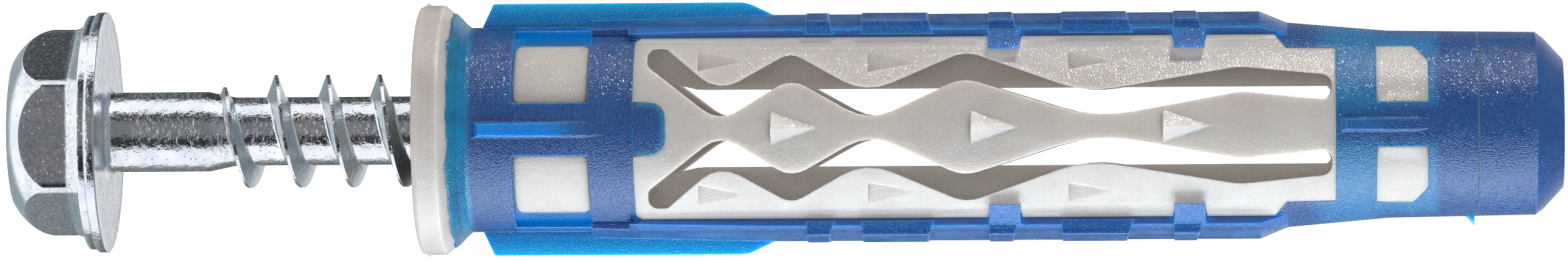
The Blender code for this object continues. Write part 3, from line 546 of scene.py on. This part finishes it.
class Tree:
    """Adds shader nodes to a tree and links them."""

    def __init__(self, tree):
        self.tree = tree

    def link(self, value, socket):
        """Put a constant on a socket, or link another socket to it."""
        if isinstance(value, bpy.types.NodeSocket):
            self.tree.links.new(value, socket)
        elif isinstance(value, (tuple, list)) and len(value) == 3 and socket.type == "RGBA":
            socket.default_value = (*value, 1.0)
        else:
            socket.default_value = value

    def add(self, kind, settings=(), **inputs):
        """Add a node with settings, and inputs by name or by number after i."""
        node = self.tree.nodes.new("ShaderNode" + kind)
        for key, value in dict(settings).items():
            setattr(node, key, value)
        for key, value in inputs.items():
            index = int(key[1:]) if key[0] == "i" and key[1:].isdigit() else key
            self.link(value, node.inputs[index])
        return node

    def maths(self, operation, first, second=0.0, clamp=False):
        """One Math node."""
        node = self.add("Math", {"operation": operation, "use_clamp": clamp},
                        i0=first, i1=second)
        return node.outputs[0]

    def times(self, first, *others):
        """The product of values."""
        for other in others:
            first = self.maths("MULTIPLY", first, other)
        return first

    def larger(self, first, second):
        """The larger of two values."""
        return self.maths("MAXIMUM", first, second)

    def away(self, value, place):
        """How far a value is from a place, on either side of it."""
        return self.maths("ABSOLUTE", self.maths("SUBTRACT", value, place))

    def ramp(self, value, low, high, out_low=0.0, out_high=1.0, kind="SMOOTHSTEP"):
        """A clamped step of value from low to high, smooth unless the kind is another."""
        node = self.add("MapRange", {"interpolation_type": kind}, Value=value)
        node.inputs["From Min"].default_value = low
        node.inputs["From Max"].default_value = high
        node.inputs["To Min"].default_value = out_low
        node.inputs["To Max"].default_value = out_high
        return node.outputs["Result"]

    def band(self, value, low, high, soft):
        """1 between low and high, with soft borders."""
        return self.times(self.ramp(value, low - soft, low + soft),
                          self.ramp(value, high + soft, high - soft))

    def cover(self, base, colour_over, *shares):
        """The base colour covered by another, by the product of the shares."""
        node = self.add("Mix", {"data_type": "RGBA"})
        self.link(self.times(*shares), node.inputs[0])
        self.link(base, node.inputs[6])
        self.link(colour_over, node.inputs[7])
        return node.outputs[2]


class Finish(Tree):
    """The tree of a new material, with its patterns on Object coordinates."""

    def __init__(self, name):
        self.material = bpy.data.materials.new(name)
        self.material.use_nodes = True
        super().__init__(self.material.node_tree)
        self.shader = self.tree.nodes["Principled BSDF"]
        self.place = self.add("TexCoord").outputs["Object"]

    def set(self, socket, value):
        """Put a constant or another socket on one of the shader's sockets."""
        self.link(value, self.shader.inputs[socket])

    def noise(self, per_mm, detail=2.0, roughness=0.5, stretch=None):
        """Noise with about per_mm features in each millimetre."""
        place = self.place
        if stretch:
            place = self.add("Mapping", Vector=place, Scale=stretch).outputs[0]
        node = self.add("TexNoise", Vector=place, Scale=per_mm / MM, Detail=detail,
                        Roughness=roughness)
        return node.outputs["Fac"]

    def cells(self, per_mm):
        """Voronoi distance with about per_mm cells in each millimetre."""
        node = self.add("TexVoronoi", {"feature": "F1"}, Vector=self.place,
                        Scale=per_mm / MM)
        return node.outputs["Distance"]

    def parts(self):
        """The three Object coordinates."""
        node = self.add("SeparateXYZ", Vector=self.place)
        return node.outputs[0], node.outputs[1], node.outputs[2]

    def stations(self):
        """Distance from the fins' plane, from the middle plane and from the collar, mm."""
        across, depth, height = self.parts()
        along = self.maths("DIVIDE", self.maths("SUBTRACT", height, COLLAR_Z), MM)
        return (self.maths("DIVIDE", self.maths("ABSOLUTE", across), MM),
                self.maths("DIVIDE", self.maths("ABSOLUTE", depth), MM), along)

    def bump(self, height, distance, strength, normal=None):
        """One Bump node, on top of another normal if one is given."""
        node = self.add("Bump", Height=height, Distance=distance, Strength=strength)
        if normal is not None:
            self.link(normal, node.inputs["Normal"])
        return node.outputs["Normal"]

    def soft_edges(self, radius):
        """A normal that rounds every edge, and a mask that is 1 on those edges."""
        bevel = self.add("Bevel", {"samples": 8}, Radius=radius).outputs["Normal"]
        sharp = self.add("NewGeometry").outputs["Normal"]
        product = self.add("VectorMath", {"operation": "DOT_PRODUCT"}, i0=bevel, i1=sharp)
        return bevel, self.ramp(product.outputs["Value"], 0.995, 0.90)

    def hollows(self, distance, own=True):
        """1 deep in a hollow, of this piece alone or beside others too, 0 in the open."""
        node = self.add("AmbientOcclusion", {"samples": 8, "only_local": own},
                        Distance=distance)
        return self.ramp(node.outputs["AO"], 0.95, 0.40)


def zinc_material(sizes):
    """Bright zinc plating: orange-peel bump, pits, bright grains and fine scratches."""
    bluish = (0.66, 0.71, 0.78)
    bright = (0.95, 0.95, 0.95)
    pit_colour = (0.22, 0.21, 0.20)
    dull_grey = (0.36, 0.37, 0.42)
    rolled = (0.52, 0.58, 0.60)
    nodes = Finish("zinc_plating")
    height = nodes.parts()[2]
    cloud = nodes.noise(0.9, detail=3.0, roughness=0.55)
    peel = nodes.noise(4.0, detail=2.0, roughness=0.55)
    fine = nodes.noise(16.0, detail=3.0, roughness=0.6)
    scratch = nodes.noise(2.0, detail=2.0, stretch=(1.0, 1.0, 14.0))
    pits = nodes.ramp(nodes.cells(3.1), 0.13, 0.05)

    # Bright grains have uneven outlines and lie in clusters
    uneven = nodes.noise(9.0, detail=2.0, roughness=0.6)
    outline = nodes.maths("ADD", nodes.cells(5.0), nodes.ramp(uneven, 0.35, 0.65, -0.05, 0.07))
    cluster = nodes.ramp(nodes.noise(2.6, detail=2.0, roughness=0.6), 0.46, 0.60)
    grains = nodes.times(nodes.ramp(outline, 0.19, 0.07), cluster)

    # The flats of the hexagon are mottled
    flats = nodes.band(height, sizes.hex_height * 0.27, sizes.hex_height * 0.95, MM * 0.2)
    mottle = nodes.ramp(nodes.noise(7.0, detail=3.0, roughness=0.65), 0.60, 0.40)

    # The flanks of the thread are rolled smooth and look duller than the core
    slope = nodes.add("TexCoord").outputs["Normal"]
    slope = nodes.add("SeparateXYZ", Vector=slope).outputs[2]
    thread = sizes.hex_height + sizes.flange_thickness + sizes.shank_length * 0.9
    flank = nodes.times(nodes.ramp(nodes.maths("ABSOLUTE", slope), 0.55, 0.80),
                        nodes.ramp(height, thread, thread + MM * 0.3))

    tint = nodes.cover(tuple(sizes.zinc), bluish, nodes.ramp(cloud, 0.35, 0.68))
    tint = nodes.cover(tint, bright, grains, 0.7)
    tint = nodes.cover(tint, pit_colour, pits)
    tint = nodes.cover(tint, dull_grey, mottle, flats, 0.5)
    tint = nodes.cover(tint, rolled, flank, 0.7)
    rough = nodes.ramp(fine, 0.3, 0.75, 0.08, 0.22)
    rough = nodes.maths("ADD", rough, nodes.ramp(scratch, 0.60, 0.75, 0.0, 0.12))
    rough = nodes.maths("ADD", rough, nodes.times(flank, 0.12))

    # The round parts are rougher than the hexagon
    round_part = nodes.ramp(height, sizes.hex_height * 0.9, sizes.hex_height * 1.3, 0.16, 1.0)
    spots = nodes.maths("SUBTRACT", grains, pits)
    normal = nodes.bump(nodes.times(peel, round_part), distance=0.00006, strength=0.5)
    normal = nodes.bump(nodes.times(fine, round_part), distance=0.00001, strength=0.4,
                        normal=normal)
    normal = nodes.bump(spots, distance=0.000016, strength=0.8, normal=normal)
    nodes.set("Base Color", tint)
    nodes.set("Metallic", 1.0)
    nodes.set("Roughness", rough)
    nodes.set("Normal", normal)
    return nodes.material


def grey_material(sizes):
    """Warm grey moulded plastic: fine grain, painted shade in recesses, faint witness lines."""
    pale_grey = (0.478, 0.444, 0.415)
    speckle = (0.70, 0.68, 0.66)
    painted_edge_highlight = (0.74, 0.71, 0.68)
    line_shade = (0.38, 0.34, 0.31)
    painted_glow_warm = (0.92, 0.84, 0.76)
    shade = tuple(sizes.painted_recess_shade)
    nodes = Finish("grey_moulding")
    side, front, station = nodes.stations()
    grain = nodes.noise(15.0, detail=0.0)
    cloud = nodes.noise(0.55, detail=3.0, roughness=0.6)
    radius = nodes.ramp(station, 1.1, 1.7, sizes.rim_rounding, sizes.edge_rounding)
    normal, edge = nodes.soft_edges(radius)
    own_hollow = nodes.hollows(HOLLOW_DEPTH)
    hollow = nodes.hollows(HOLLOW_DEPTH, own=False)

    # Painted shade: on the walls deep in the slots, in the legs' own hollows and in the window
    # frames
    deep = nodes.times(nodes.ramp(front, 3.0, 1.9), nodes.ramp(side, 4.0, 3.6),
                       nodes.ramp(station, 9.4, 9.9))
    shaded = nodes.times(own_hollow, 0.32)
    painted_frame_shade = nodes.times(hollow, nodes.ramp(station, RAIL_START, 9.2, 0.0, 0.45))
    lines = 0.0
    for place in WITNESS_LINES:
        mark = nodes.ramp(nodes.away(station, place), 0.07, 0.01)
        lines = nodes.maths("ADD", lines, mark)
    base = nodes.cover(tuple(sizes.grey), pale_grey, nodes.ramp(cloud, 0.3, 0.7))
    # Painted shade in the slots, the hollows and the window frames
    base = nodes.cover(base, shade, deep, 0.08)
    base = nodes.cover(base, shade, nodes.larger(shaded, painted_frame_shade))
    base = nodes.cover(base, speckle, nodes.ramp(grain, 0.50, 0.75, 0.0, 0.15))
    # Painted highlight along the rounded edges
    base = nodes.cover(base, painted_edge_highlight, edge, 0.35)
    base = nodes.cover(base, line_shade, lines, 0.16)

    # Painted light: a warm glow for light that comes through the wall, lifting the shade under
    # the rails and lips and deep in the slots
    beside_rail = nodes.times(nodes.band(side, *PAINTED_GLOW_SIDES, 0.06),
                              nodes.ramp(front, 1.6, 1.9))
    through = nodes.maths("SUBTRACT", hollow, own_hollow, clamp=True)
    through = nodes.times(nodes.larger(through, beside_rail),
                          nodes.ramp(station, RAIL_START, 10.0, 0.0, 0.30))
    through = nodes.larger(through, nodes.times(deep, 0.10))
    nodes.set("Base Color", base)
    nodes.set("Emission Color", nodes.cover(BLACK, painted_glow_warm, through))
    nodes.set("Emission Strength", 1.0)
    nodes.set("Roughness", nodes.ramp(grain, 0.3, 0.7, 0.14, 0.25))
    nodes.set("Subsurface Weight", 0.8)
    nodes.set("Subsurface Radius", (1.0, 0.85, 0.7))
    nodes.set("Subsurface Scale", 0.0012)
    nodes.set("Normal", nodes.bump(grain, distance=0.000023, strength=1.0, normal=normal))
    return nodes.material


def blue_material(sizes):
    """Deep blue moulded plastic: leathery grain, teal where it is thin, cyan fins."""
    soft_blue = (0.013, 0.070, 0.225)
    leather_light = (0.05, 0.15, 0.36)
    cone_teal = (0.004, 0.17, 0.36)
    rail_blue = (0.07, 0.19, 0.40)
    painted_line_highlight = (0.06, 0.18, 0.42)
    film_teal = (0.010, 0.165, 0.36)
    tongue_teal = (0.04, 0.26, 0.48)
    fin_root = (0.0, 0.25, 0.54)
    painted_edge_highlight = (0.08, 0.32, 0.66)
    clear = tuple(sizes.thin_blue_and_glow)
    nodes = Finish("blue_moulding")
    side, front, station = nodes.stations()
    leather = nodes.noise(15.0, detail=0.0)
    cloud = nodes.noise(0.6, detail=3.0, roughness=0.6)
    normal, edge = nodes.soft_edges(sizes.edge_rounding)
    base = nodes.cover(tuple(sizes.blue), soft_blue, nodes.ramp(cloud, 0.3, 0.7))
    base = nodes.cover(base, leather_light, nodes.ramp(leather, 0.55, 0.8, 0.0, 0.30))

    # Thin walls look clearer: the cone's teal is its own colour
    cone = nodes.band(station, *CONE_SKIN, 0.12)
    base = nodes.cover(base, cone_teal, cone, nodes.ramp(cloud, 0.35, 0.6, 0.5, 1.0))
    strip = nodes.times(nodes.band(side, *STRIP_SIDES, 0.05),
                        nodes.band(station, RAIL_START, RAIL_END, 0.2))
    lips = nodes.larger(nodes.band(station, *FIRST_LIPS, 0.08),
                        nodes.band(station, *SECOND_LIPS, 0.08))
    strip = nodes.larger(strip, nodes.times(lips, nodes.band(side, *LIP_SIDES, 0.10)))
    window = nodes.times(nodes.band(side, *WINDOW_SIDES, 0.06),
                         nodes.band(station, *WINDOWS, 0.08))
    thin = nodes.larger(strip, window)
    # Rail strips, lips, window recesses and rib: a clearer blue, partly their colour and partly
    # painted light through the thin walls
    base = nodes.cover(base, clear, thin, 0.40)
    rib = nodes.times(nodes.ramp(front, 4.50, 4.62), nodes.ramp(side, 0.6, 0.42),
                      nodes.band(station, *RIBS, 0.6))
    base = nodes.cover(base, clear, rib)

    # The matt outer faces of the rails, and a painted highlight on the line round the nose
    rail = nodes.times(nodes.ramp(side, 4.46, 4.70),
                       nodes.band(station, RAIL_START, RAIL_END, 0.3),
                       nodes.ramp(cloud, 0.35, 0.65, 0.2, 0.5))
    base = nodes.cover(base, rail_blue, rail)
    line = nodes.band(station, NOSE_LINE - 0.06, NOSE_LINE + 0.06, 0.02)
    base = nodes.cover(base, painted_line_highlight, line, 0.4)

    # The film over the grey nose core and the rims of its windows
    film = nodes.times(nodes.band(station, *NOSE_FILM, 0.8),
                       nodes.ramp(side, 0.5, 1.2, 0.35, 1.0))
    window_side, window_station = NOSE_WINDOW
    half_width, half_length = NOSE_WINDOW_HALVES
    rim = nodes.larger(
        nodes.maths("SUBTRACT", nodes.away(side, window_side), half_width),
        nodes.maths("SUBTRACT", nodes.away(station, window_station), half_length))
    film = nodes.larger(film, nodes.ramp(rim, 0.60, 0.0))
    base = nodes.cover(base, film_teal, film, 0.8)

    # The tongue runs out thin over the grey
    corner_side, corner_station = TONGUE_CORNER
    past = nodes.larger(nodes.maths("SUBTRACT", station, corner_station), 0.0)
    beside = nodes.larger(nodes.maths("SUBTRACT", side, corner_side), 0.0)
    squares = nodes.maths("ADD", nodes.times(past, past), nodes.times(beside, beside))
    tongue = nodes.times(nodes.ramp(nodes.maths("POWER", squares, 0.5), 0.40, 0.76),
                         nodes.band(station, *TONGUES, 0.1), nodes.ramp(side, 1.8, 1.6))
    base = nodes.cover(base, tongue_teal, tongue, 0.6)

    # Fins, clearest at their free edge: partly their own clearer blue, partly painted light
    # shining through them from behind
    fin = nodes.times(nodes.ramp(side, 4.35, 4.75), nodes.ramp(front, 0.6, 0.42),
                      nodes.ramp(station, 16.2, 15.4))
    fin_blue_and_backlight = nodes.cover(fin_root, tuple(sizes.teal), nodes.ramp(side, 4.8, 5.4))
    base = nodes.cover(base, fin_blue_and_backlight, fin)
    # Painted highlight along the rounded edges
    base = nodes.cover(base, painted_edge_highlight, edge, 0.35)
    nodes.set("Base Color", base)
    nodes.set("Roughness", nodes.ramp(leather, 0.3, 0.7, 0.11, 0.21))
    nodes.set("Specular IOR Level", 0.52)
    nodes.set("Subsurface Weight", 0.7)
    nodes.set("Subsurface Radius", (0.1, 0.5, 1.0))
    nodes.set("Subsurface Scale", 0.0012)
    # Painted light: a glow of thin blue in the hollows of the rail strips, lips and window
    # recesses
    painted_glow_hollows = nodes.hollows(distance=0.0006)
    nodes.set("Emission Color", nodes.cover(BLACK, clear, thin, painted_glow_hollows))
    nodes.set("Emission Strength", 0.5)
    nodes.set("Normal", nodes.bump(leather, distance=0.000036, strength=1.0, normal=normal))
    return nodes.material


def floor_material():
    """Pale studio floor: off-white, matt, softly glowing so that shadows stay light."""
    nodes = Finish("pale_floor")
    patchy = nodes.ramp(nodes.noise(0.02, detail=3.0), 0.3, 0.7)
    nodes.set("Base Color", nodes.cover((0.90, 0.90, 0.90), (0.93, 0.93, 0.93), patchy))
    nodes.set("Roughness", 0.8)
    nodes.set("Emission Color", WHITE)
    nodes.set("Emission Strength", 0.70)
    return nodes.material


def studio_world():
    """Surroundings: pale panels above, below and at both ends, a dim wall in front.

    The colour depends on the direction's turn about the plug's axis and on its rise.
    """
    # Turn about the axis in degrees, from the front, and how bright the ring is there
    ring_stops = (
        (-180.0, 0.10), (-109.0, 0.04), (-102.0, 1.32), (-60.0, 1.32), (-55.0, 0.03),
        (-42.0, 0.05), (-32.0, 0.22), (12.0, 0.26), (20.0, 0.03), (44.0, 0.03),
        (52.0, 1.32), (112.0, 1.32), (119.0, 0.26), (180.0, 0.12),
    )
    # Below the crown and beyond the nose: the rise where each starts and is full, its colour
    ends = (
        (-0.24, -0.38, (1.36, 1.38, 1.41)),
        (0.24, 0.40, (0.34, 0.39, 0.42)),
    )
    # Two panels behind the plug: a grey one below, which the thread shows, a white one above
    patches = (
        ((0.35, 0.55), (-0.10, -0.20), (0.40, 0.48, 0.51)),
        ((0.75, 0.92), (0.02, 0.08), (0.95, 0.97, 1.00)),
    )
    # Matt surfaces get more light from the pale backdrop and less from the upper panel
    matt_panels = (
        (0, -0.25, -0.65, (0.80, 0.78, 0.76)),
        (1, 0.20, 0.65, (1.70, 1.64, 1.58)),
    )
    world = bpy.data.worlds.new("studio")
    bpy.context.scene.world = world
    world.use_nodes = True
    world.node_tree.nodes.clear()
    nodes = Tree(world.node_tree)
    direction = nodes.add("TexCoord").outputs["Generated"]
    parts = nodes.add("SeparateXYZ", Vector=direction).outputs
    path = nodes.add("LightPath").outputs
    turn = nodes.maths("ARCTAN2", parts[0], nodes.times(parts[1], -1.0))
    ring = nodes.add("ValToRGB", Fac=nodes.ramp(turn, -math.pi, math.pi, kind="LINEAR"))
    elements = ring.color_ramp.elements
    while len(elements) < len(ring_stops):
        elements.new(0.5)
    for element, (degrees, level) in zip(elements, ring_stops):
        element.position = (degrees + 180.0) / 360.0
        element.color = (level, level, level * 1.03, 1.0)
    light = ring.outputs["Color"]
    for start, full, tone in ends:
        light = nodes.cover(light, tone, nodes.ramp(parts[2], start, full))
    for behind, rise, tone in patches:
        light = nodes.cover(light, tone, nodes.ramp(parts[1], *behind),
                            nodes.ramp(parts[2], *rise))
    for axis, start, full, tone in matt_panels:
        light = nodes.cover(light, tone, path["Is Diffuse Ray"],
                            nodes.ramp(parts[axis], start, full))
    around = nodes.add("Background", Color=light, Strength=0.9)
    backdrop = nodes.add("Background", Color=WHITE, Strength=1.05)
    choice = nodes.add("MixShader", i0=path["Is Camera Ray"], i1=around.outputs[0],
                       i2=backdrop.outputs[0])
    nodes.add("OutputWorld", Surface=choice.outputs[0])


def add_light(name, place, size, power, mirrored=False, tint=WHITE, without=None):
    """A soft square light turned to the part's middle, which one piece may be kept out of."""
    lamp = bpy.data.lights.new(name, "AREA")
    lamp.shape = "SQUARE"
    lamp.size = size
    lamp.energy = power
    lamp.color = tint
    item = add_object(name, lamp)
    item.location = place
    direction = Vector(PART_MIDDLE) - Vector(place)
    item.rotation_euler = direction.to_track_quat("-Z", "Y").to_euler()
    item.visible_glossy = mirrored
    if without is not None:
        kept_out = bpy.data.collections.new(name + "_kept_out")
        kept_out.objects.link(without)
        kept_out.collection_objects[0].light_linking.link_state = "EXCLUDE"
        item.light_linking.receiver_collection = kept_out


def add_camera(sizes):
    """Camera that sees the plug's axis run to the right and the -X side on top."""
    place = Vector((0.0, -sizes.distance, sizes.camera_height))
    aim = Vector((sizes.aim_side, 0.0, sizes.aim_height))
    forward = (aim - place).normalized()
    right = forward.cross(Vector((-1.0, 0.0, 0.0))).normalized()
    up = right.cross(forward)
    turned_right = right * math.cos(sizes.roll) - up * math.sin(sizes.roll)
    turned_up = up * math.cos(sizes.roll) + right * math.sin(sizes.roll)
    turn = Matrix((turned_right, turned_up, -forward)).transposed()
    lens = bpy.data.cameras.new("photo_view")
    lens.sensor_width = 36.0
    lens.lens = sizes.lens
    lens.clip_start = 0.01
    lens.clip_end = 100.0
    item = add_object("photo_view", lens)
    item.matrix_world = Matrix.Translation(place) @ turn.to_4x4()
    bpy.context.scene.camera = item


class WALLPLUG_OT_screw(bpy.types.Operator):
    """Build the screw as one fine surface in place of its plain solid"""
    bl_idname = "wallplug.screw"
    bl_label = "Screw"

    def execute(self, context):
        sizes = context.scene.screw_sizes
        piece = surface_object("flanged_screw", screw_patches(sizes), math.radians(50.0))
        piece.data.materials.append(zinc_material(sizes))
        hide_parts("screw")
        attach(piece, "screw")
        return {"FINISHED"}


class WALLPLUG_OT_grey_body(bpy.types.Operator):
    """Dress the grey moulding of the plug"""
    bl_idname = "wallplug.grey_body"
    bl_label = "Grey body"

    def execute(self, context):
        piece = moulded_copy("plug_body", "grey_body")
        press_against(piece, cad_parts["plug_shell"], context.scene.plug_sizes.seam)
        piece.data.materials.clear()
        piece.data.materials.append(grey_material(context.scene.plug_sizes))
        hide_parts("plug_body")
        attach(piece, "plug")
        return {"FINISHED"}


class WALLPLUG_OT_blue_shell(bpy.types.Operator):
    """Dress the blue moulding of the plug"""
    bl_idname = "wallplug.blue_shell"
    bl_label = "Blue shell"

    def execute(self, context):
        piece = moulded_copy("plug_shell", "blue_shell")
        piece.data.materials.clear()
        piece.data.materials.append(blue_material(context.scene.plug_sizes))
        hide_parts("plug_shell")
        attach(piece, "plug")
        return {"FINISHED"}


class WALLPLUG_OT_flash(bpy.types.Operator):
    """Add what the mould leaves: a film, a line, a flake and two nibs"""
    bl_idname = "wallplug.flash"
    bl_label = "Mould flash"

    def execute(self, context):
        sizes = context.scene.plug_sizes
        pieces = (
            ("cone_film", (film_ring(sizes),), "blue_plastic", "blue_moulding"),
            ("nose_flash", (nose_line(sizes), flash_flake(sizes)),
             "blue_plastic", "blue_moulding"),
            ("collar_nibs", (parting_nib(sizes, 0.0), parting_nib(sizes, math.pi)),
             "grey_plastic", "grey_moulding"),
        )
        for name, patches, slot, material in pieces:
            piece = surface_object(name, patches, math.radians(40.0))
            piece.data.materials.append(bpy.data.materials[material])
            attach(piece, "plug")
        return {"FINISHED"}


class WALLPLUG_OT_stage(bpy.types.Operator):
    """Set the pale floor, the soft studio light and the camera"""
    bl_idname = "wallplug.stage"
    bl_label = "Stage"

    def execute(self, context):
        sizes = context.scene.stage_sizes
        share = np.linspace(0.0, 1.0, 24)[:, None] ** 3
        angle = round_angles(96)
        points = polar_points(sizes.floor_radius * share, angle, -sizes.floor_drop)
        faces = grid_faces(len(share), len(angle))[:, ::-1]
        floor = surface_object("floor", ((points, faces),), math.radians(60.0))
        floor.data.materials.append(floor_material())
        floor.visible_glossy = False
        floor.visible_diffuse = False
        studio_world()
        cool = (0.80, 0.91, 1.0)
        warm = (1.0, 0.95, 0.90)
        add_light("lower_key", (0.44, -0.13, 0.10), size=0.68, power=5.4, mirrored=True,
                  tint=cool, without=bpy.data.objects["flanged_screw"])
        add_light("lower_fill", (0.36, -0.32, 0.10), size=0.50, power=0.6)
        add_light("upper_spark", (-0.46, -0.12, 0.185), size=0.022, power=1.5, mirrored=True)
        add_light("front_fill", (-0.15, -0.50, 0.10), size=0.30, power=0.18, tint=warm)
        add_camera(sizes)
        context.scene.view_settings.view_transform = "Standard"
        context.scene.view_settings.look = "None"
        return {"FINISHED"}


class WALLPLUG_PT_panel(bpy.types.Panel):
    """Lists the pieces that can be built"""
    bl_idname = "WALLPLUG_PT_panel"
    bl_label = "Wall plug"
    bl_space_type = "VIEW_3D"
    bl_region_type = "UI"
    bl_category = "Wall plug"

    def draw(self, context):
        column = self.layout.column()
        for operator in OPERATORS:
            column.operator(operator.bl_idname)


OPERATORS = (
    WALLPLUG_OT_screw,
    WALLPLUG_OT_grey_body,
    WALLPLUG_OT_blue_shell,
    WALLPLUG_OT_flash,
    WALLPLUG_OT_stage,
)
GROUPS = (ScrewSizes, PlugSizes, StageSizes)
CLASSES = GROUPS + OPERATORS + (WALLPLUG_PT_panel,)


def register():
    for item in CLASSES:
        bpy.utils.register_class(item)
    bpy.types.Scene.screw_sizes = PointerProperty(type=ScrewSizes)
    bpy.types.Scene.plug_sizes = PointerProperty(type=PlugSizes)
    bpy.types.Scene.stage_sizes = PointerProperty(type=StageSizes)


def unregister():
    del bpy.types.Scene.screw_sizes
    del bpy.types.Scene.plug_sizes
    del bpy.types.Scene.stage_sizes
    for item in reversed(CLASSES):
        bpy.utils.unregister_class(item)


def main():
    """Build every piece in order."""
    register()
    bpy.ops.wallplug.screw()
    bpy.ops.wallplug.grey_body()
    bpy.ops.wallplug.blue_shell()
    bpy.ops.wallplug.flash()
    bpy.ops.wallplug.stage()


if __name__ == "__main__":
    main()
